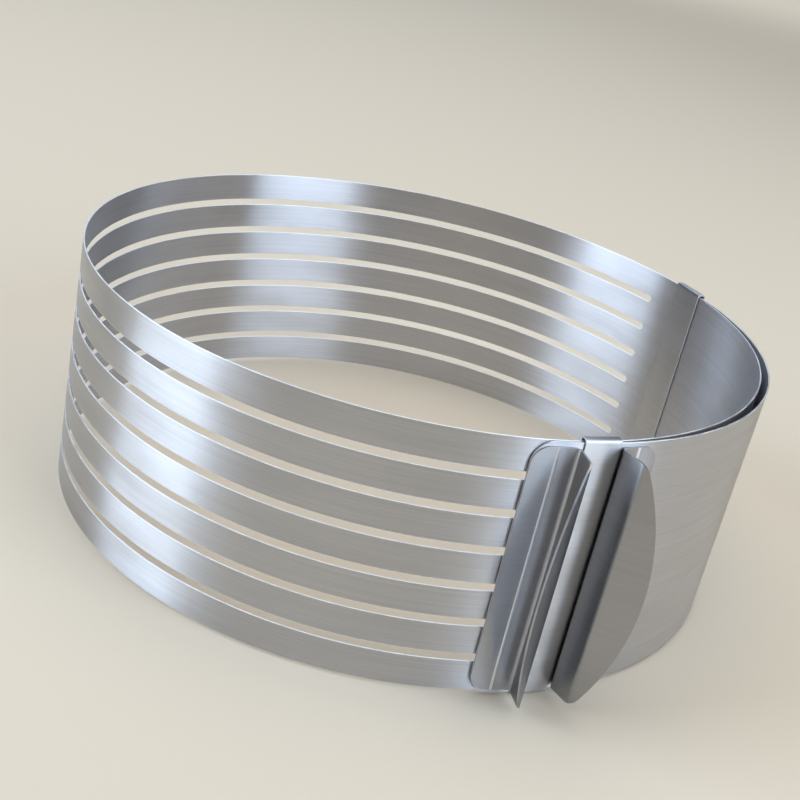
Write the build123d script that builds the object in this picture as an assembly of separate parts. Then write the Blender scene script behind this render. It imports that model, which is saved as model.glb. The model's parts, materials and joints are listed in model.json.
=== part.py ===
"""Adjustable cake leveler: a slotted spring steel ring with a winged clasp, closed to its smallest size.

The strip is wound once round the cake and overlaps itself on the right. Its outer end carries the
clasp, at the front, and its inner end carries the back keeper. Millimetres, +Z up, clasp towards -Y.
"""

import math
import os

from build123d import *

# The ring
smallest_diameter = 240.0
band_height = 85.0
band_thickness = 0.5
double_layer_length = 223.2
layer_gap = 0.4
outer_layer_bulge = 1.0
inner_layer_bulge = 1.0

# The knife slots
slot_count = 6
slot_width = 2.5
rim_band_height = 10.5
slots_under_clasp = 4.2
slots_to_inner_end = 14.5
front_slot_land = 5.0
back_slot_land = 6.0

# The rigid lengths that the bending strip is made of
inner_tail_count = 6
slotted_count = 13
outer_tail_count = 6
clasp_end_length = 42.5
seam_gap = 0.08

# The keepers, each a folded sleeve round both layers
keeper_sheet = 0.5
keeper_play = 1.15
keeper_fold_radius = 0.6
front_keeper_width = 12.0
front_keeper_shift = 0.5
back_keeper_width = 14.0

# The winged handles
clasp_width = 41.0
handle_sheet = 0.6
handle_rim_margin = 1.4
flange_width = 7.3
flange_corner_radius = 5.5
crease_angle = 5.0
crease_radius = 1.2
channel_width = 13.8
wing_bend_radius = 1.1
neck_height = 6.8
neck_lean = 7.0
lens_bend_radius = 2.0
lens_flare = 49.0
lens_width = 10.6

# How far cuts run past the sheet, and the steps in which the strip's path is followed
cut_overrun = 0.5
steps_per_length = 60

ring_radius = smallest_diameter / 2
handle_height = band_height - 2 * handle_rim_margin
layer_step = band_thickness + layer_gap
keeper_room = 2 * band_thickness + keeper_play
keeper_reach = keeper_fold_radius + keeper_sheet
clasp_end_corner_radius = flange_corner_radius + handle_rim_margin

outer_end_angle = -math.pi / 2 - clasp_width / 2 / ring_radius
inner_end_angle = outer_end_angle + double_layer_length / ring_radius
slot_front_angle = outer_end_angle + slots_under_clasp / ring_radius
slot_back_angle = inner_end_angle + slots_to_inner_end / ring_radius
slotted_angle = 2 * math.pi - (slot_back_angle - slot_front_angle)

inner_tail_length = (inner_end_angle - slot_front_angle) * ring_radius - front_slot_land
slotted_length = slotted_angle * ring_radius + front_slot_land + back_slot_land
outer_tail_length = (slot_back_angle - outer_end_angle) * ring_radius - back_slot_land
strip_length = inner_tail_length + slotted_length + outer_tail_length


def blend(share):
    """Rise from 0 to 1 that is level at both ends, and its slope."""
    if share <= 0 or share >= 1:
        return (0.0 if share <= 0 else 1.0), 0.0
    return share * share * (3 - 2 * share), 6 * share * (1 - share)


def swell(share):
    """Rise from 0 to 1 and back that is level at both ends, and its slope."""
    if share <= 0 or share >= 1:
        return 0.0, 0.0
    return (4 * share * (1 - share)) ** 2, 32 * share * (1 - share) * (1 - 2 * share)


def strip_offset(distance):
    """How far the strip lies outside the ring's circle, and the slope, a distance from its inner end."""
    from_inner = distance / double_layer_length
    from_outer = (strip_length - distance) / double_layer_length
    inner_rise, inner_slope = blend(1 - from_inner)
    inner_swell, inner_swell_slope = swell(from_inner)
    outer_rise, outer_slope = blend(1 - from_outer)
    outer_swell, outer_swell_slope = swell(from_outer)
    offset = layer_step * (outer_rise - inner_rise)
    offset += outer_layer_bulge * outer_swell - inner_layer_bulge * inner_swell
    slope = layer_step * (outer_slope + inner_slope)
    slope -= outer_layer_bulge * outer_swell_slope + inner_layer_bulge * inner_swell_slope
    return offset, slope / double_layer_length


class StripLength:
    """One rigid length of the strip: an arc of its outer surface, followed clockwise."""

    def __init__(self, start, end, turn):
        chord = end - start
        self.turn = turn
        self.radius = chord.length / (2 * math.sin(turn / 2))
        inward = Vector(chord.Y, -chord.X).normalized()
        self.centre = (start + end) * 0.5 + inward * (self.radius * math.cos(turn / 2))
        spoke = start - self.centre
        self.start_angle = math.atan2(spoke.Y, spoke.X)
        self.length = self.radius * turn

    def angle_at(self, distance):
        return self.start_angle - distance / self.radius

    def sector(self, begin, end, low, high):
        """Plan face between two distances along the arc and two heights outside the outer surface."""
        first, last = math.degrees(self.angle_at(end)), math.degrees(self.angle_at(begin))
        return ring_sector(self.centre, self.radius + low, self.radius + high, first, last)

    def place(self, distance):
        """Frame on the outer surface: X on along the arc, Y outwards, Z up."""
        angle = self.angle_at(distance)
        outwards = Vector(math.cos(angle), math.sin(angle))
        along = Vector(outwards.Y, -outwards.X)
        origin = self.centre + outwards * self.radius
        return Plane(origin=origin, x_dir=along, z_dir=(0, 0, 1))


def ring_sector(centre, inner_radius, outer_radius, first, last):
    """Plan face between two radii and two angles in degrees."""
    outer = CenterArc(centre, outer_radius, first, last - first)
    inner = CenterArc(centre, inner_radius, first, last - first)
    return make_face([outer, Line(outer @ 1, inner @ 1), inner, Line(inner @ 0, outer @ 0)])


def raise_face(face, low, high):
    return extrude(Pos(0, 0, low) * face, amount=high - low, dir=(0, 0, 1))


def seam_at(distance, angle):
    """Point on the strip's outer surface and its clockwise heading, a distance from the inner end."""
    offset, slope = strip_offset(distance)
    spot = Vector(math.cos(angle), math.sin(angle)) * (ring_radius + offset)
    return spot, angle - math.pi / 2 + math.asin(slope)


def strip_path(lengths):
    """Points and headings at the seams between the given lengths of strip, from the inner end."""
    distance = 0.0
    angle = inner_end_angle
    seams = [seam_at(distance, angle)]
    for length in lengths:
        step = length / steps_per_length
        for _ in range(steps_per_length):
            offset, slope = strip_offset(distance + step / 2)
            angle -= step * math.sqrt(1 - slope * slope) / (ring_radius + offset)
            distance += step
        seams.append(seam_at(distance, angle))
    return seams


def strip_lengths():
    """The rigid lengths in order from the inner end, with their node names."""
    plain_length = (outer_tail_length - clasp_end_length) / (outer_tail_count - 1)
    lengths = [inner_tail_length / inner_tail_count] * inner_tail_count
    lengths += [slotted_length / slotted_count] * slotted_count
    lengths += [plain_length] * (outer_tail_count - 1) + [clasp_end_length]
    names = [f"inner_tail_{i + 1:02d}" for i in range(inner_tail_count)]
    names += [f"slotted_strip_{i + 1:02d}" for i in range(slotted_count)]
    names += [f"outer_tail_{i + 1:02d}" for i in range(outer_tail_count)]
    seams = strip_path(lengths)
    pieces = {}
    for name, (start, heading), (end, next_heading) in zip(names, seams, seams[1:]):
        pieces[name] = StripLength(start, end, heading - next_heading)
    return pieces


def slot_edges():
    """Lower and upper edges of the slots, counted from the foot of the band."""
    guide_band = (band_height - 2 * rim_band_height - slot_count * slot_width) / (slot_count - 1)
    edges = []
    for index in range(slot_count):
        low = rim_band_height + index * (guide_band + slot_width)
        edges.append((low, low + slot_width))
    return edges


def plain_strip(piece):
    trim = seam_gap / 2
    return raise_face(piece.sector(trim, piece.length - trim, -band_thickness, 0), 0, band_height)


def clasp_strip(piece):
    """The plain length under the clasp, with the two corners of the strip's outer end rounded."""
    tip = piece.place(piece.length - seam_gap / 2)
    side = Plane(origin=tip.origin, x_dir=tip.x_dir, z_dir=-tip.y_dir)
    rounded = RectangleRounded(2 * clasp_end_length, band_height, clasp_end_corner_radius)
    corner_face = side * Pos(-clasp_end_length, band_height / 2) * rounded
    return plain_strip(piece) & extrude(corner_face, amount=clasp_end_length, both=True)


def slotted_strip(piece):
    """The separate bands of a length that the slots run right through."""
    trim = seam_gap / 2
    face = piece.sector(trim, piece.length - trim, -band_thickness, 0)
    solids = []
    foot = 0.0
    for low, high in [*slot_edges(), (band_height, band_height)]:
        solids += raise_face(face, foot, low).solids()
        foot = high
    return Compound(solids)


def slot_end_strip(piece, land, slots_after):
    """A length in which the slots end, round, a distance from its plain edge."""
    solid = plain_strip(piece)
    half_width = slot_width / 2
    middle = land + half_width
    round_at = middle if slots_after else piece.length - middle
    begin, end = (round_at, piece.length) if slots_after else (0, round_at)
    cut_face = piece.sector(begin, end, -band_thickness - cut_overrun, cut_overrun)
    drill_plane = piece.place(round_at)
    for low, high in slot_edges():
        solid -= raise_face(cut_face, low, high)
        axis_plane = Plane(
            origin=drill_plane.origin + Vector(0, 0, low + half_width),
            x_dir=drill_plane.x_dir,
            z_dir=drill_plane.y_dir,
        )
        solid -= extrude(axis_plane * Circle(half_width), amount=band_thickness + cut_overrun, both=True)
    return solid


def keeper(piece, middle, width, lowest):
    """A folded sleeve round both layers, whose room begins at a height over the strip's outer surface."""
    room_height = band_height + 2 * keeper_fold_radius
    first = math.degrees(piece.angle_at(middle + width / 2))
    turn = math.degrees(width / piece.radius)
    spoke = Vector(math.cos(math.radians(first)), math.sin(math.radians(first)))
    section = Plane(origin=piece.centre, x_dir=spoke, z_dir=(spoke.Y, -spoke.X, 0))
    across = piece.radius + lowest + keeper_room / 2
    room = RectangleRounded(keeper_room, room_height, keeper_fold_radius)
    wall = RectangleRounded(keeper_room + 2 * keeper_sheet, room_height + 2 * keeper_sheet, keeper_reach)
    profile = section * Pos(across, band_height / 2) * (wall - room)
    return revolve(profile, axis=Axis(piece.centre, (0, 0, 1)), revolution_arc=turn)


class SheetRun:
    """Plan outline of a bent sheet, followed along the face that looks at the ring or the channel."""

    def __init__(self, spot, heading, sheet):
        self.spot = spot
        self.heading = heading
        self.sheet = sheet
        self.faces = []

    def ahead(self):
        return Vector(math.cos(math.radians(self.heading)), math.sin(math.radians(self.heading)))

    def right(self):
        ahead = self.ahead()
        return Vector(ahead.Y, -ahead.X)

    def straight(self, length):
        side = self.right() * self.sheet
        end = self.spot + self.ahead() * length
        self.faces.append(make_face(Polyline(self.spot, end, end + side, self.spot + side, close=True)))
        self.spot = end

    def bend_right(self, angle, inner_radius):
        outer_radius = inner_radius + self.sheet
        pivot = self.spot + self.right() * outer_radius
        start = self.heading + 90
        self.faces.append(ring_sector(pivot, inner_radius, outer_radius, start - angle, start))
        self.heading -= angle
        self.spot = pivot - self.right() * outer_radius


def rise_of_bend(heading, angle, outer_radius):
    """How far a bend to the right moves the followed face along the first axis."""
    start, end = math.radians(heading), math.radians(heading - angle)
    return outer_radius * (math.sin(start) - math.sin(end))


def handle(piece):
    """The left handle in the clasp's own frame: X towards the slots, Y outwards, on the outer tail."""
    centre = Vector(0, -piece.radius)
    edge_angle = math.degrees(clasp_width / 2 / piece.radius)
    crease_at = math.degrees((clasp_width / 2 - flange_width) / piece.radius)
    base_angle = math.degrees(channel_width / 2 / piece.radius)
    outer_radius = piece.radius + handle_sheet

    flange = ring_sector(centre, piece.radius, outer_radius, 90 - edge_angle, 90 - crease_at)
    solid = raise_face(flange, 0, handle_height)
    corner_face = Plane.XZ * Pos(0, handle_height / 2) * RectangleRounded(
        2 * piece.radius * math.sin(math.radians(edge_angle)), handle_height, flange_corner_radius
    )
    solid &= extrude(corner_face, amount=piece.radius, both=True)

    crease_spot = centre + Vector(
        piece.radius * math.sin(math.radians(crease_at)), piece.radius * math.cos(math.radians(crease_at))
    )
    run = SheetRun(crease_spot, 180 - crease_at, handle_sheet)
    run.bend_right(crease_angle, crease_radius)
    base_turn = run.heading - (90 - base_angle - neck_lean)
    bend_rise = rise_of_bend(run.heading, base_turn, wing_bend_radius + handle_sheet)
    to_base = (channel_width / 2 - run.spot.X - bend_rise) / run.ahead().X
    run.straight(to_base)
    run.bend_right(base_turn, wing_bend_radius)
    run.straight(neck_height)
    run.bend_right(lens_flare - neck_lean, lens_bend_radius)
    for face in run.faces:
        solid += raise_face(face, 0, handle_height)

    lens_plane = Plane(origin=run.spot, x_dir=run.ahead(), z_dir=run.right())
    edge = ThreePointArc((0, 0), (lens_width, handle_height / 2), (0, handle_height))
    lens_face = lens_plane * make_face([edge, Line(edge @ 1, edge @ 0)])
    solid += extrude(lens_face, amount=handle_sheet)
    return Pos(0, 0, handle_rim_margin) * solid


def build():
    """Every node's solids in the ring's own frame: ring axis at the origin, foot of the band at zero."""
    lengths = strip_lengths()
    names = list(lengths)
    nodes = {}
    for index, (name, piece) in enumerate(lengths.items()):
        slotted = index - inner_tail_count
        if slotted == 0:
            nodes[name] = slot_end_strip(piece, front_slot_land, slots_after=True)
        elif slotted == slotted_count - 1:
            nodes[name] = slot_end_strip(piece, back_slot_land, slots_after=False)
        elif 0 < slotted < slotted_count:
            nodes[name] = slotted_strip(piece)
        elif name == names[-1]:
            nodes[name] = clasp_strip(piece)
        else:
            nodes[name] = plain_strip(piece)

    inner_end, clasp_end = lengths[names[0]], lengths[names[-1]]
    clasp_middle = clasp_end.length - clasp_width / 2
    nodes["back_keeper"] = keeper(inner_end, back_keeper_width / 2, back_keeper_width, -band_thickness)
    nodes["front_keeper"] = keeper(
        clasp_end, clasp_middle - front_keeper_shift, front_keeper_width, -keeper_room
    )
    left_handle = handle(clasp_end)
    clasp_place = Location(clasp_end.place(clasp_middle))
    nodes["left_handle"] = clasp_place * left_handle
    nodes["right_handle"] = clasp_place * mirror(left_handle, Plane.YZ)
    return lengths, nodes


def row_shift(nodes):
    """Move that brings the middle of the whole part to the origin and its lowest point to zero height."""
    boxes = [solid.bounding_box() for solid in nodes.values()]
    low = [min(getattr(box.min, axis) for box in boxes) for axis in "XYZ"]
    high = [max(getattr(box.max, axis) for box in boxes) for axis in "XYZ"]
    return Vector(-(low[0] + high[0]) / 2, -(low[1] + high[1]) / 2, -low[2])


if __name__ == "__main__":
    strip_parts, node_solids = build()
    shift = row_shift(node_solids)
    os.makedirs("parts", exist_ok=True)
    for node_name, node_solid in node_solids.items():
        export_step(Pos(*shift) * node_solid, f"parts/{node_name}.step")
    print("shift", shift)
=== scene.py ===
"""Dresses the cake leveler: a slotted spring steel strip rolled into a ring, with its keepers and handles.

Every sheet is cut out flat, given its thickness, and then rolled or bent. Sizes are in metres and angles in
degrees, and the ring's axis is Z.
"""

import json
import math

import bmesh
import bpy
from mathutils import Matrix, Vector

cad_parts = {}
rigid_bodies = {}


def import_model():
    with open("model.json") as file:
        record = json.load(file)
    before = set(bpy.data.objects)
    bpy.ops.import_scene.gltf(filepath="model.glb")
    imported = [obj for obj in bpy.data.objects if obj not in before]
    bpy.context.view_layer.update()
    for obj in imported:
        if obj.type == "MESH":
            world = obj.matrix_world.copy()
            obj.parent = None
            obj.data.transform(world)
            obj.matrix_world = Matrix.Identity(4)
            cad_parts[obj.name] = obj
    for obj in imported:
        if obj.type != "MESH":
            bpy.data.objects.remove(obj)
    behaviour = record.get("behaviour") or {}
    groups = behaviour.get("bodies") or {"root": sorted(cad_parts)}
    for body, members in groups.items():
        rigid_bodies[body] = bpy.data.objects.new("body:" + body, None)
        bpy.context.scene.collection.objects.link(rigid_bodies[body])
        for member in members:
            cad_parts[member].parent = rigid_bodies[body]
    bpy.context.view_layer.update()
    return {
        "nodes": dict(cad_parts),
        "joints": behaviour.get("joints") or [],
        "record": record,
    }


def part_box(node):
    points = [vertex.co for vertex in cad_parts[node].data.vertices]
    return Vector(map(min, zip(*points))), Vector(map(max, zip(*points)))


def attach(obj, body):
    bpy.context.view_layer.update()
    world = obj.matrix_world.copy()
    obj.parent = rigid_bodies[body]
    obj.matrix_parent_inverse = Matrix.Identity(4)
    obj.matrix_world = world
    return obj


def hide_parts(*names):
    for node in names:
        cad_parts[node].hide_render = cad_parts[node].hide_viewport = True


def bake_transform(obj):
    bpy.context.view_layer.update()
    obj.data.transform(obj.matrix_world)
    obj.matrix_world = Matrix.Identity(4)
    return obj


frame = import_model()

# The strip
band_height = 0.085
band_thickness = 0.0005
slot_count = 6
slot_width = 0.0025
rim_band_height = 0.0105
front_slot_land = 0.005
back_slot_land = 0.006
inner_tail_count = 6
slotted_count = 13
outer_tail_count = 6
clasp_end_length = 0.0425

# The keepers
keeper_sheet = 0.0005
keeper_play = 0.00115
keeper_fold_radius = 0.0006
front_keeper_width = 0.012
front_keeper_shift = 0.0005
back_keeper_width = 0.014

# The handles
clasp_width = 0.041
handle_sheet = 0.0006
handle_rim_margin = 0.0014
flange_width = 0.0073
flange_corner_radius = 0.0055
crease_angle = 5.0
crease_radius = 0.0012
bead_turn = 24.0
bead_radius = 0.00035
channel_width = 0.0138
wing_bend_radius = 0.0011
neck_height = 0.0068
neck_lean = 7.0
lens_bend_radius = 0.002
lens_flare = 49.0
lens_width = 0.0106
lens_corner_radius = 0.005
# Width of the line along the handle's crease that carries a painted highlight
crease_highlight_width = 0.0009

# How finely the sheets are divided, and how far their edges are rounded
column_width = 0.001
round_steps = 8
bend_step = 9.0
handle_rows = 30
lens_columns = 8
fold_steps = 5
keeper_steps = 8
edge_steps = 2
rim_rounding = 0.00012
slit_rounding = 0.00016
same_spot = 1e-7
near_spot = 10 * same_spot

# What counts as a cut edge, an edge to round in radians, and an edge that shades as a corner
strip_face_flatness = 0.95
handle_face_flatness = 0.7
sharp_turn = 1.0
shaded_corner = 20.0

# The steel: shares of the noise that its tones span, repeats per metre along and across the grain, and relief
tone_span = (0.3, 0.7)
line_span = (0.25, 0.75)
cloud_repeats = (24, 80)
nick_repeats = (160, 160)
grain_relief = 0.00002
quarter_turn = 0.25
edge_roughness = (0.4, 0.55)

# The studio
floor_colour = (0.70, 0.63, 0.515)
lit_floor_colour = (0.62, 0.585, 0.51)
room_colour = (0.035, 0.035, 0.042)
daylight = (0.70, 0.83, 1.0)
shaded_daylight = (0.95, 0.92, 0.90)
ceiling_light = (1.0, 0.95, 0.88)
floor_reach = 60
floor_roughness = 0.8
floor_shine = 0.2
floor_fade_begin = 0.6
floor_fade_end = 4
camera_lens = 56.994
camera_nearest = 0.01
camera_spot = (-0.201069, -0.370382, 0.224832)
camera_turn = (66.0183, -11.7605, -22.5055)

# Sizes that follow from these
keeper_room = 2 * band_thickness + keeper_play
keeper_reach = keeper_fold_radius + keeper_sheet
clasp_corner_radius = flange_corner_radius + handle_rim_margin
handle_height = band_height - 2 * handle_rim_margin
handle_middle = handle_height / 2
lens_radius = (handle_middle ** 2 + lens_width ** 2) / 2 / lens_width
lens_end_slope = math.acos(handle_middle / lens_radius)
lens_corner_run = lens_corner_radius * math.tan(lens_end_slope / 2)
band_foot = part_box("outer_tail_01")[0][2]


class StripLength:
    """One rigid length of the strip in plan: the arc of its outer surface, followed clockwise."""

    def __init__(self, start, middle, end):
        to_middle = middle - start
        to_end = end - start
        twice_cross = 2 * (to_middle.x * to_end.y - to_middle.y * to_end.x)
        self.centre = start + Vector((
            to_end.y * to_middle.length_squared - to_middle.y * to_end.length_squared,
            to_middle.x * to_end.length_squared - to_end.x * to_middle.length_squared,
        )) / twice_cross
        self.radius = (start - self.centre).length
        spoke = start - self.centre
        self.start_angle = math.atan2(spoke.y, spoke.x)
        self.length = 2 * self.radius * math.asin(to_end.length / 2 / self.radius)

    def angle_at(self, distance):
        return self.start_angle - distance / self.radius

    def spot(self, distance, outwards):
        angle = self.angle_at(distance)
        return self.centre + (self.radius + outwards) * Vector((math.cos(angle), math.sin(angle)))


def read_strip():
    """The strip's lengths from the inner end on, read from the hinges at their seams and the solids' arcs."""
    names = [f"inner_tail_{i + 1:02d}" for i in range(inner_tail_count)]
    names += [f"slotted_strip_{i + 1:02d}" for i in range(slotted_count)]
    names += [f"outer_tail_{i + 1:02d}" for i in range(outer_tail_count)]
    bodies = frame["record"]["behaviour"]["bodies"]
    body_of = {node: body for body, nodes in bodies.items() for node in nodes}
    seams = {}
    for joint in frame["joints"]:
        seams[frozenset((joint["parent"], joint["child"]))] = Vector(joint["pos_m"][:2])
    spots = [seams[frozenset((body_of[a], body_of[b]))] for a, b in zip(names, names[1:])]
    corners = {name: [v.co.xy for v in frame["nodes"][name].data.vertices] for name in names}
    inner_tip = max(corners[names[0]], key=lambda corner: (corner - spots[0]).length)
    outer_tip = max(corners[names[-1]], key=lambda corner: (corner - spots[-1]).length)
    spots = [inner_tip, *spots, outer_tip]
    lengths = []
    for name, start, end in zip(names, spots, spots[1:]):
        outwards = Vector((start.y - end.y, end.x - start.x))
        crown = max(corners[name], key=lambda corner: (corner - start).dot(outwards))
        lengths.append(StripLength(start, crown, end))
    return names, [body_of[name] for name in names], lengths


strip_nodes, strip_bodies, strip_lengths = read_strip()
strip_starts = [sum(piece.length for piece in strip_lengths[:i]) for i in range(len(strip_lengths) + 1)]
first_slotted = inner_tail_count
last_slotted = inner_tail_count + slotted_count - 1
slots_begin = strip_starts[first_slotted] + front_slot_land
slots_end = strip_starts[last_slotted + 1] - back_slot_land


def strip_spot(distance, outwards):
    """Plan point a distance along the rolled strip from its inner end, so far outside its outer surface."""
    index = 0
    while index < len(strip_lengths) - 1 and distance > strip_starts[index + 1]:
        index += 1
    return strip_lengths[index].spot(distance - strip_starts[index], outwards)


def slot_edges():
    """Lower and upper edges of the slots, counted from the foot of the band."""
    guide_band = (band_height - 2 * rim_band_height - slot_count * slot_width) / (slot_count - 1)
    lows = [rim_band_height + index * (guide_band + slot_width) for index in range(slot_count)]
    return [(low, low + slot_width) for low in lows]


def round_ends():
    """The slots' round ends along the strip: the tip, the round's middle and the way that it points."""
    half_width = slot_width / 2
    return [(slots_begin, slots_begin + half_width, -1), (slots_end, slots_end - half_width, 1)]


def flat_blank(begin, end, height):
    """An upright rectangle of sheet in the XZ plane."""
    mesh = bmesh.new()
    corners = [mesh.verts.new((x, 0, z)) for x, z in ((begin, 0), (end, 0), (end, height), (begin, height))]
    mesh.faces.new(corners)
    return mesh


def rule_across(mesh, spots, normal):
    """Divides the flat sheet at planes through spots along the X or Z axis."""
    direction = Vector(normal)
    for spot in spots:
        everything = mesh.verts[:] + mesh.edges[:] + mesh.faces[:]
        bmesh.ops.bisect_plane(
            mesh, geom=everything, dist=same_spot, plane_co=direction * spot, plane_no=direction
        )


def evenly(begin, end, step):
    """Spots between begin and end, at most a step apart, without the two themselves."""
    count = max(1, math.ceil((end - begin) / step))
    return [begin + (end - begin) * i / count for i in range(1, count)]


def corner_spots(radius):
    """How far from its side a round corner has turned, at each of its steps."""
    return [radius * (1 - math.cos(math.pi / 2 * step / round_steps)) for step in range(1, round_steps + 1)]


def curve_slot_ends(mesh, tip, middle, way):
    """Moves the ruled corners at one end of the slots onto half circles."""
    half_width = slot_width / 2
    for corner in mesh.verts:
        past_middle = min((corner.co.x - middle) * way, half_width)
        if past_middle < -same_spot or (corner.co.x - tip) * way > same_spot:
            continue
        rise = math.sqrt(max(0.0, half_width ** 2 - past_middle ** 2))
        for low, high in slot_edges():
            if abs(corner.co.z - low) < same_spot:
                corner.co.z = (low + high) / 2 - rise
            elif abs(corner.co.z - high) < same_spot:
                corner.co.z = (low + high) / 2 + rise


def slotted_blank(begin, end):
    """The strip between two distances from its inner end, flat, with its share of the slots cut out."""
    half_width = slot_width / 2
    mesh = flat_blank(begin, end, band_height)
    columns = evenly(begin, end, column_width)
    for halving in range(1, round_steps):
        columns += [begin + column_width / 2 ** halving, end - column_width / 2 ** halving]
    ends = [spots for spots in round_ends() if begin < spots[0] < end]
    for tip, middle, way in ends:
        columns = [x for x in columns if abs(x - (tip + middle) / 2) > half_width]
        for step in range(round_steps + 1):
            columns.append(middle + way * half_width * math.sin(math.pi / 2 * step / round_steps))
    rule_across(mesh, columns, (1, 0, 0))
    edges = slot_edges()
    if begin < slots_end and end > slots_begin:
        rule_across(mesh, [height for pair in edges for height in pair], (0, 0, 1))
    waste = []
    for face in mesh.faces:
        spot = face.calc_center_median()
        in_slot = any(low < spot.z < high for low, high in edges)
        if in_slot and slots_begin < spot.x < slots_end:
            waste.append(face)
    bmesh.ops.delete(mesh, geom=waste, context="FACES")
    for tip, middle, way in ends:
        curve_slot_ends(mesh, tip, middle, way)
    bmesh.ops.remove_doubles(mesh, verts=mesh.verts[:], dist=same_spot)
    return mesh


def round_corners(mesh, tip, radius, height):
    """Rounds the two corners at one end of the flat sheet, by drawing its rows together."""
    middle = height / 2
    for corner in mesh.verts:
        from_tip = abs(corner.co.x - tip)
        if from_tip < radius:
            drop = radius - math.sqrt(radius ** 2 - (radius - from_tip) ** 2)
            corner.co.z = middle + (corner.co.z - middle) * (middle - drop) / middle


def thicken(mesh, thickness):
    """Gives the flat sheet its thickness, from its followed face at Y zero towards minus Y."""
    bmesh.ops.solidify(mesh, geom=mesh.faces[:], thickness=thickness)
    top = max(corner.co.y for corner in mesh.verts)
    bmesh.ops.translate(mesh, verts=mesh.verts[:], vec=(0, -top, 0))
    bmesh.ops.recalc_face_normals(mesh, faces=mesh.faces[:])


def mark_cut_edges(mesh, flatness):
    """Gives the faces that turn away from the sheet's own face the second finish, whose colour paints light:
    a painted highlight on the strip's cut edges and painted shade on the handles'.
    """
    mesh.normal_update()
    for face in mesh.faces:
        face.material_index = 0 if abs(face.normal.y) > flatness else 1


def round_edges(mesh, wanted, amount):
    """Rounds the sharp edges that are wanted, asked with the places of their two ends."""
    sharp = []
    for edge in mesh.edges:
        if len(edge.link_faces) == 2 and edge.calc_face_angle() > sharp_turn:
            if wanted(*[corner.co for corner in edge.verts]):
                sharp.append(edge)
    bmesh.ops.bevel(
        mesh, geom=sharp, offset=amount, offset_type="OFFSET", segments=edge_steps, profile=0.5,
        affect="EDGES", clamp_overlap=True, material=-1,
    )


def flat_grain(spot):
    return spot.x, spot.z + spot.y


def draw_grain(mesh, unrolled):
    """A UV map in metres, so that the grain follows the sheet round its bends; unrolled flattens a spot."""
    grain = mesh.loops.layers.uv.new("grain")
    for face in mesh.faces:
        for loop in face.loops:
            loop[grain].uv = unrolled(loop.vert.co)


def finish_piece(mesh, name, finishes):
    """Turns the finished bmesh into a named object with its finishes and softly shaded bends."""
    data = bpy.data.meshes.new(name)
    mesh.to_mesh(data)
    mesh.free()
    for finish in finishes:
        data.materials.append(finish)
    data.shade_smooth()
    data.set_sharp_from_angle(angle=math.radians(shaded_corner))
    piece = bpy.data.objects.new(name, data)
    bpy.context.scene.collection.objects.link(piece)
    return piece


def link(tree, source, target):
    tree.links.new(source, target)


def start_material(name):
    """A new material, its node tree and its shader."""
    material = bpy.data.materials.new(name)
    material.use_nodes = True
    return material, material.node_tree, material.node_tree.nodes["Principled BSDF"]


def streaks(tree, repeats, detail):
    """Noise drawn out along the sheet's grain; repeats are per metre, along and across."""
    place = tree.nodes.new("ShaderNodeUVMap")
    place.uv_map = "grain"
    stretch = tree.nodes.new("ShaderNodeMapping")
    stretch.inputs["Scale"].default_value = (*repeats, 1)
    link(tree, place.outputs["UV"], stretch.inputs["Vector"])
    noise = tree.nodes.new("ShaderNodeTexNoise")
    noise.noise_dimensions = "2D"
    noise.inputs["Scale"].default_value = 1
    noise.inputs["Detail"].default_value = detail
    link(tree, stretch.outputs["Vector"], noise.inputs["Vector"])
    return noise.outputs["Fac"]


def ramp(tree, value, span, dull, bright):
    """Colours the span of a value from dull to bright."""
    node = tree.nodes.new("ShaderNodeValToRGB")
    for stop, position, colour in zip(node.color_ramp.elements, span, (dull, bright)):
        stop.position = position
        stop.color = (*colour, 1)
    link(tree, value, node.inputs["Fac"])
    return node.outputs["Color"]


def to_range(tree, value, low, high):
    """Brings the noise's tones to a range."""
    node = tree.nodes.new("ShaderNodeMapRange")
    node.inputs["From Min"].default_value, node.inputs["From Max"].default_value = tone_span
    node.inputs["To Min"].default_value = low
    node.inputs["To Max"].default_value = high
    link(tree, value, node.inputs["Value"])
    return node.outputs["Result"]


def mix(tree, share, first, second):
    node = tree.nodes.new("ShaderNodeMix")
    node.data_type = "RGBA"
    node.inputs["Factor"].default_value = share
    link(tree, first, node.inputs["A"])
    link(tree, second, node.inputs["B"])
    return node.outputs["Result"]


def rolled_steel(name, dull, bright, roughness, repeats, grain_depth, stretch):
    """Stainless sheet with the fine lines of its rolling, which draw reflections out across the grain."""
    material, tree, shader = start_material(name)
    fine = streaks(tree, repeats, detail=4)
    cloudy = streaks(tree, cloud_repeats, detail=4)
    clouds = ramp(tree, cloudy, tone_span, dull, bright)
    lines = ramp(tree, fine, line_span, dull, bright)
    link(tree, mix(tree, 0.5, clouds, lines), shader.inputs["Base Color"])
    link(tree, to_range(tree, cloudy, *roughness), shader.inputs["Roughness"])
    shader.inputs["Metallic"].default_value = 1
    shader.inputs["Anisotropic"].default_value = stretch
    shader.inputs["Anisotropic Rotation"].default_value = quarter_turn
    along = tree.nodes.new("ShaderNodeTangent")
    along.direction_type = "UV_MAP"
    along.uv_map = "grain"
    link(tree, along.outputs["Tangent"], shader.inputs["Tangent"])
    relief = tree.nodes.new("ShaderNodeBump")
    relief.inputs["Strength"].default_value = grain_depth
    relief.inputs["Distance"].default_value = grain_relief
    link(tree, fine, relief.inputs["Height"])
    link(tree, relief.outputs["Normal"], shader.inputs["Normal"])
    return material


def painted_light_steel(name, dull, bright):
    """Steel for a cut edge or a crease, whose flat colour paints light onto it: a painted highlight where
    bright, painted shade where dark.
    """
    material, tree, shader = start_material(name)
    nicks = streaks(tree, nick_repeats, detail=3)
    link(tree, ramp(tree, nicks, tone_span, dull, bright), shader.inputs["Base Color"])
    link(tree, to_range(tree, nicks, *edge_roughness), shader.inputs["Roughness"])
    shader.inputs["Metallic"].default_value = 1
    return material


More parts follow.
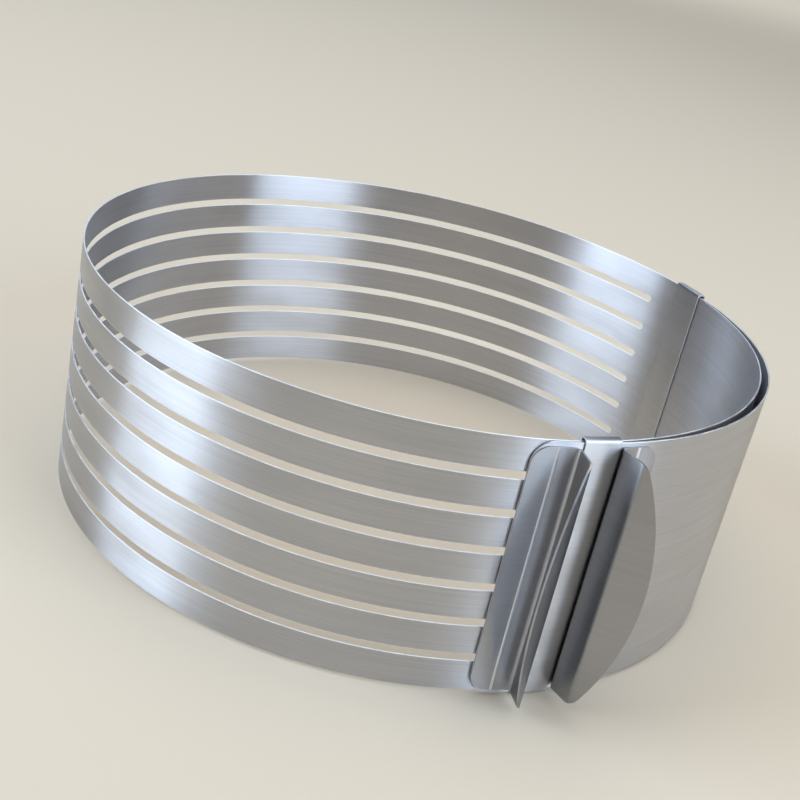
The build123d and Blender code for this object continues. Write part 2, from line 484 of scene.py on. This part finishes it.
strip_finish = rolled_steel(
    "brushed_strip_steel", dull=(0.55, 0.555, 0.58), bright=(0.70, 0.705, 0.73),
    roughness=(0.31, 0.39), repeats=(14, 1500), grain_depth=0.12, stretch=1.0,
)
# Keeper steel: the same grained steel painted darker than the strip, as painted shade
keeper_shade_finish = rolled_steel(
    "brushed_keeper_steel_painted_shade", dull=(0.50, 0.50, 0.51), bright=(0.60, 0.60, 0.61),
    roughness=(0.3, 0.38), repeats=(20, 1200), grain_depth=0.1, stretch=0.9,
)
# Handle steel: the same grained steel painted darker still, as painted shade
handle_shade_finish = rolled_steel(
    "satin_handle_steel_painted_shade", dull=(0.42, 0.42, 0.435), bright=(0.50, 0.50, 0.51),
    roughness=(0.33, 0.40), repeats=(16, 1100), grain_depth=0.06, stretch=0.95,
)
# The strip's cut edges: a near-white colour, brighter than the steel, painted as a highlight along the rims
# and slot edges
strip_edge_highlight_finish = painted_light_steel("cut_edge_painted_highlight", dull=(0.80, 0.82, 0.86), bright=(0.92, 0.94, 0.97))
# The handles' cut edges: painted darker than the handle's faces, as painted shade along the edges
handle_edge_shade_finish = painted_light_steel("handle_cut_edge_painted_shade", dull=(0.36, 0.37, 0.40), bright=(0.46, 0.47, 0.50))
# The handle's crease: a near-white line, a painted highlight
crease_highlight_finish = painted_light_steel("crease_painted_highlight", dull=(0.84, 0.87, 0.93), bright=(0.92, 0.95, 1.0))


def roll_strip(name, begin, end, tips):
    """The rolled strip between two distances from its inner end, with its real tips among them rounded."""
    mesh = slotted_blank(begin, end)
    if strip_starts[-1] in tips:
        round_corners(mesh, end, clasp_corner_radius, band_height)
    thicken(mesh, band_thickness)
    draw_grain(mesh, flat_grain)

    def on_rim(one, other):
        along = abs(one.x - other.x) > same_spot
        at_tip = any(max(abs(one.x - tip), abs(other.x - tip)) < same_spot for tip in tips)
        return along or at_tip

    round_edges(mesh, on_rim, slit_rounding)
    mark_cut_edges(mesh, strip_face_flatness)
    for corner in mesh.verts:
        spot = strip_spot(corner.co.x, corner.co.y)
        corner.co = (spot.x, spot.y, band_foot + corner.co.z)
    return finish_piece(mesh, name, (strip_finish, strip_edge_highlight_finish))


def make_strip():
    """The strip in pieces that meet at the middle of each rigid length, one across each seam between."""
    middles = [start + piece.length / 2 for start, piece in zip(strip_starts, strip_lengths)]
    strip_end = strip_starts[-1]
    inner_tip = roll_strip("strip_inner_tip", 0, middles[0], (0,))
    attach(inner_tip, strip_bodies[0])
    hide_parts(strip_nodes[0])
    outer_tip = roll_strip("strip_outer_tip", middles[-1], strip_end, (strip_end,))
    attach(outer_tip, strip_bodies[-1])
    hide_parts(strip_nodes[-1])
    for index in range(len(strip_lengths) - 1):
        begin, end = middles[index], middles[index + 1]
        bend = roll_strip(f"strip_bend_{index + 1:02d}_sheet", begin, end, ())
        start, finish = strip_spot(begin, 0), strip_spot(end, 0)
        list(start)
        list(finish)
        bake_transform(bend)
        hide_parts(strip_nodes[index], strip_nodes[index + 1])


def keeper_section():
    """The keeper's upright section: a rounded box as deep as both layers and their play, one sheet thick."""
    mesh = flat_blank(0, keeper_room + 2 * keeper_sheet, band_height + 2 * keeper_reach)
    bmesh.ops.bevel(
        mesh, geom=mesh.verts[:], offset=keeper_reach, offset_type="OFFSET", segments=fold_steps, profile=0.5,
        affect="VERTICES", clamp_overlap=True, material=-1,
    )
    room = mesh.faces[:]
    bmesh.ops.inset_region(
        mesh, faces=room, thickness=keeper_sheet, use_even_offset=True, use_boundary=True
    )
    bmesh.ops.delete(mesh, geom=room, context="FACES")
    return mesh


def make_keeper(name, node, length, begin, width, lowest):
    """A folded sleeve round both layers: its section spun along the strip's arc, its inner wall at lowest."""
    mesh = keeper_section()
    inner_face = length.radius + lowest - keeper_sheet
    bmesh.ops.translate(mesh, verts=mesh.verts[:], vec=(inner_face, 0, band_foot - keeper_reach))
    section = mesh.verts[:] + mesh.edges[:] + mesh.faces[:]
    turn = width / length.radius
    bmesh.ops.spin(
        mesh, geom=section, cent=(0, 0, 0), axis=(0, 0, 1), dvec=(0, 0, 0), angle=-turn, steps=keeper_steps,
        use_merge=False, use_duplicate=False,
    )
    bmesh.ops.remove_doubles(mesh, verts=mesh.verts[:], dist=same_spot)
    bmesh.ops.recalc_face_normals(mesh, faces=mesh.faces[:])

    def unrolled(spot):
        return math.atan2(spot.y, spot.x) * length.radius, spot.z + spot.xy.length

    def on_side(one, other):
        angles = [math.atan2(spot.y, spot.x) for spot in (one, other)]
        return max(min(abs(angle), abs(angle + turn)) for angle in angles) < same_spot

    draw_grain(mesh, unrolled)
    round_edges(mesh, on_side, rim_rounding)
    place = Matrix.Translation((*length.centre, 0)) @ Matrix.Rotation(length.angle_at(begin), 4, "Z")
    bmesh.ops.transform(mesh, matrix=place, verts=mesh.verts[:])
    piece = finish_piece(mesh, name, (keeper_shade_finish,))
    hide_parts(node)
    return piece


class BentSheet:
    """The plan line of a bent sheet: runs of a length and a turn to the left, followed along one face."""

    def __init__(self, start, heading):
        self.start = start
        self.heading = heading
        self.runs = []

    def add(self, length, turn):
        self.runs.append((length, turn))

    def at(self, distance):
        """Point and heading a distance along the followed face."""
        spot, heading = self.start.copy(), self.heading
        for length, turn in self.runs:
            part = min(distance, length)
            swing = turn * part / length
            if turn:
                radius = length / turn
                spot += radius * Vector((
                    math.sin(heading + swing) - math.sin(heading),
                    math.cos(heading) - math.cos(heading + swing),
                ))
            else:
                spot += part * Vector((math.cos(heading), math.sin(heading)))
            heading += swing
            distance -= part
        return spot, heading

    def length(self):
        return sum(length for length, _ in self.runs)


def handle_line(length):
    """The left handle's plan line, X towards the slots and Y outwards from the strip's outer surface."""
    edge_angle = clasp_width / 2 / length.radius
    edge = Vector((
        length.radius * math.sin(edge_angle),
        length.radius * math.cos(edge_angle) - length.radius,
    ))
    line = BentSheet(edge, math.pi - edge_angle)
    bead = math.radians(bead_turn)
    foot_run = (bead_radius + handle_sheet) * bead
    crown_run = 2 * bead_radius * bead
    flange_run = flange_width - foot_run - crown_run / 2
    line.add(flange_run, flange_run / length.radius)
    line.add(foot_run, -bead)
    line.add(crown_run, 2 * bead)
    line.add(foot_run, -bead)
    crease_turn = math.radians(crease_angle)
    line.add((crease_radius + handle_sheet) * crease_turn, -crease_turn)
    spot, heading = line.at(line.length())
    base_radius = wing_bend_radius + handle_sheet
    neck_heading = math.pi / 2 - channel_width / 2 / length.radius - math.radians(neck_lean)
    bend_rise = base_radius * (math.sin(heading) - math.sin(neck_heading))
    line.add((channel_width / 2 - spot.x - bend_rise) / math.cos(heading), 0)
    line.add(base_radius * (heading - neck_heading), neck_heading - heading)
    line.add(neck_height, 0)
    lens_turn = math.radians(lens_flare - neck_lean)
    line.add((lens_bend_radius + handle_sheet) * lens_turn, -lens_turn)
    return line


def rule_handle(mesh, line, lens_start):
    """Divides the flat handle where it bends and where its outline curves."""
    columns = corner_spots(flange_corner_radius)
    reached = 0
    for run_length, turn in line.runs:
        steps = max(1, math.ceil(abs(math.degrees(turn)) / bend_step))
        for step in range(steps):
            columns.append(reached + run_length * step / steps)
        reached += run_length
    columns += evenly(lens_start, line.length(), lens_width / lens_columns)
    rows = evenly(0, handle_height, handle_height / handle_rows)
    for step, from_end in enumerate(corner_spots(lens_corner_radius), start=1):
        rows += [from_end, handle_height - from_end]
        columns.append(lens_start - lens_corner_run * step / round_steps)
    rule_across(mesh, [x for x in columns if x > same_spot], (1, 0, 0))
    rule_across(mesh, rows, (0, 0, 1))


def curve_lens(mesh, lens_start):
    """Draws the flat handle's outer side in to the lens's curve, with the lens's two ends rounded."""
    corner_begin = lens_start - lens_corner_run
    for corner in mesh.verts:
        x, z = corner.co.x, corner.co.z
        if x > corner_begin:
            from_end = min(z, handle_height - z)
            reach = math.sqrt(lens_radius ** 2 - (z - handle_middle) ** 2) - lens_radius + lens_width
            if from_end < lens_corner_run * math.sin(lens_end_slope):
                across = math.sqrt(lens_corner_radius ** 2 - (lens_corner_radius - from_end) ** 2)
                reach = min(reach, across - lens_corner_run)
            stretched = (x - corner_begin) * (lens_corner_run + reach)
            corner.co.x = corner_begin + stretched / (lens_corner_run + lens_width)
    bmesh.ops.remove_doubles(mesh, verts=mesh.verts[:], dist=near_spot)


def paint_crease_highlight(mesh):
    """Gives the line along the flat handle's crease the third finish, a painted highlight."""
    for face in mesh.faces:
        if face.material_index == 0 and abs(face.calc_center_median().x - flange_width) < crease_highlight_width / 2:
            face.material_index = 2


def bend_handle(mesh, line, length, side):
    """Bends the flat handle along its plan line and stands it on the strip's outer layer."""
    spoke = length.spot(clasp_end_length - clasp_width / 2, 0) - length.centre
    outwards = spoke.normalized()
    towards_slots = Vector((outwards.y, -outwards.x))
    origin = length.centre + spoke
    for corner in mesh.verts:
        spot, heading = line.at(corner.co.x)
        spot += -corner.co.y * Vector((math.sin(heading), -math.cos(heading)))
        plan = origin + towards_slots * (side * spot.x) + outwards * spot.y
        corner.co = (plan.x, plan.y, band_foot + handle_rim_margin + corner.co.z)
    bmesh.ops.recalc_face_normals(mesh, faces=mesh.faces[:])


def make_handle(name, length, side):
    """A winged handle: side is 1 for the left one, towards the slots, and -1 for its mirror image."""
    line = handle_line(length)
    lens_start = line.length()
    line.add(lens_width, 0)
    mesh = flat_blank(0, line.length(), handle_height)
    rule_handle(mesh, line, lens_start)
    round_corners(mesh, 0, flange_corner_radius, handle_height)
    curve_lens(mesh, lens_start)
    thicken(mesh, handle_sheet)
    mark_cut_edges(mesh, handle_face_flatness)
    paint_crease_highlight(mesh)
    draw_grain(mesh, flat_grain)
    round_edges(mesh, lambda one, other: True, rim_rounding)
    bend_handle(mesh, line, length, side)
    piece = finish_piece(mesh, name, (handle_shade_finish, handle_edge_shade_finish, crease_highlight_finish))
    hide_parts(name)
    return piece


make_strip()
inner_length, clasp_length = strip_lengths[0], strip_lengths[-1]
back_keeper = make_keeper(
    "back_keeper_sleeve", "back_keeper", inner_length, 0, back_keeper_width, -band_thickness
)
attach(back_keeper, "inner_end")
keeper_begin = clasp_end_length - clasp_width / 2 - front_keeper_shift - front_keeper_width / 2
front_keeper = make_keeper(
    "front_keeper_sleeve", "front_keeper", clasp_length, keeper_begin, front_keeper_width, -keeper_room
)
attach(front_keeper, "clasp")
for handle_name, handle_side in (("left_handle", 1), ("right_handle", -1)):
    handle = make_handle(handle_name, clasp_length, handle_side)
    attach(handle, "clasp")


def make_floor():
    """A plain pale floor, which keeps its own colour where the camera sees it far from the ring."""
    data = bpy.data.meshes.new("pale_floor")
    mesh = bmesh.new()
    bmesh.ops.create_grid(mesh, x_segments=1, y_segments=1, size=floor_reach)
    mesh.to_mesh(data)
    mesh.free()
    floor = bpy.data.objects.new("pale_floor", data)
    bpy.context.scene.collection.objects.link(floor)
    material, tree, shader = start_material("pale_floor")
    shader.inputs["Base Color"].default_value = (*floor_colour, 1)
    shader.inputs["Roughness"].default_value = floor_roughness
    shader.inputs["Specular IOR Level"].default_value = floor_shine
    place = tree.nodes.new("ShaderNodeTexCoord")
    away = tree.nodes.new("ShaderNodeVectorMath")
    away.operation = "LENGTH"
    link(tree, place.outputs["Object"], away.inputs[0])
    far = tree.nodes.new("ShaderNodeMapRange")
    far.interpolation_type = "SMOOTHSTEP"
    far.inputs["From Min"].default_value = floor_fade_begin
    far.inputs["From Max"].default_value = floor_fade_end
    link(tree, away.outputs["Value"], far.inputs["Value"])
    rays = tree.nodes.new("ShaderNodeLightPath")
    seen = tree.nodes.new("ShaderNodeMath")
    seen.operation = "MULTIPLY"
    link(tree, far.outputs["Result"], seen.inputs[0])
    link(tree, rays.outputs["Is Camera Ray"], seen.inputs[1])
    glow = tree.nodes.new("ShaderNodeEmission")
    glow.inputs["Color"].default_value = (*lit_floor_colour, 1)
    blend = tree.nodes.new("ShaderNodeMixShader")
    link(tree, seen.outputs["Value"], blend.inputs["Fac"])
    link(tree, shader.outputs["BSDF"], blend.inputs[1])
    link(tree, glow.outputs["Emission"], blend.inputs[2])
    link(tree, blend.outputs["Shader"], tree.nodes["Material Output"].inputs["Surface"])
    data.materials.append(material)


def make_room():
    """A dark room, which shows pale where the camera sees it over the floor."""
    world = bpy.data.worlds.new("room")
    bpy.context.scene.world = world
    world.use_nodes = True
    tree = world.node_tree
    rays = tree.nodes.new("ShaderNodeLightPath")
    shade = tree.nodes.new("ShaderNodeMix")
    shade.data_type = "RGBA"
    shade.inputs["A"].default_value = (*room_colour, 1)
    shade.inputs["B"].default_value = (*lit_floor_colour, 1)
    link(tree, rays.outputs["Is Camera Ray"], shade.inputs["Factor"])
    link(tree, shade.outputs["Result"], tree.nodes["Background"].inputs["Color"])


def make_lamp(name, spot, target, size, power, colour):
    """A rectangular lamp that faces its target."""
    lamp = bpy.data.lights.new(name, "AREA")
    lamp.shape = "RECTANGLE"
    lamp.size, lamp.size_y = size
    lamp.energy = power
    lamp.color = colour
    holder = bpy.data.objects.new(name, lamp)
    holder.location = spot
    holder.rotation_euler = (Vector(target) - Vector(spot)).to_track_quat("-Z", "Y").to_euler()
    bpy.context.scene.collection.objects.link(holder)


def make_window(name, azimuth, elevation, distance, size, radiance, colour):
    """A soft panel turned to the ring, at a compass angle from plus X and a height angle.

    Radiance is how bright the panel shows.
    """
    around, up = math.radians(azimuth), math.radians(elevation)
    target = Vector((0, 0, band_height / 2))
    way = Vector((math.cos(up) * math.cos(around), math.cos(up) * math.sin(around), math.sin(up)))
    spot = target + distance * way
    make_lamp(name, spot, target, size, math.pi * radiance * size[0] * size[1], colour)


def make_camera():
    """The photo's view, with the camera rolled as the photo's ring is tilted."""
    data = bpy.data.cameras.new("camera")
    data.lens = camera_lens
    data.clip_start = camera_nearest
    camera = bpy.data.objects.new("camera", data)
    camera.location = camera_spot
    camera.rotation_euler = [math.radians(angle) for angle in camera_turn]
    bpy.context.scene.collection.objects.link(camera)
    bpy.context.scene.camera = camera


make_floor()
make_room()
make_window(
    "left_window", azimuth=168, elevation=24, distance=2.4, size=(1.5, 2.1), radiance=4.8, colour=daylight
)
make_window(
    "right_window", azimuth=-61, elevation=24, distance=2.4, size=(1.7, 2.1), radiance=3.9, colour=daylight
)
make_window(
    "side_window", azimuth=-12, elevation=22, distance=2.6, size=(2.2, 2.0), radiance=0.55,
    colour=shaded_daylight,
)
make_window(
    "back_window", azimuth=80, elevation=32, distance=2.4, size=(2.2, 1.1), radiance=1.6, colour=daylight
)
make_window(
    "ceiling", azimuth=90, elevation=90, distance=2.3, size=(2.6, 2.6), radiance=1.9, colour=ceiling_light
)
make_camera()
bpy.context.scene.view_settings.view_transform = "Standard"
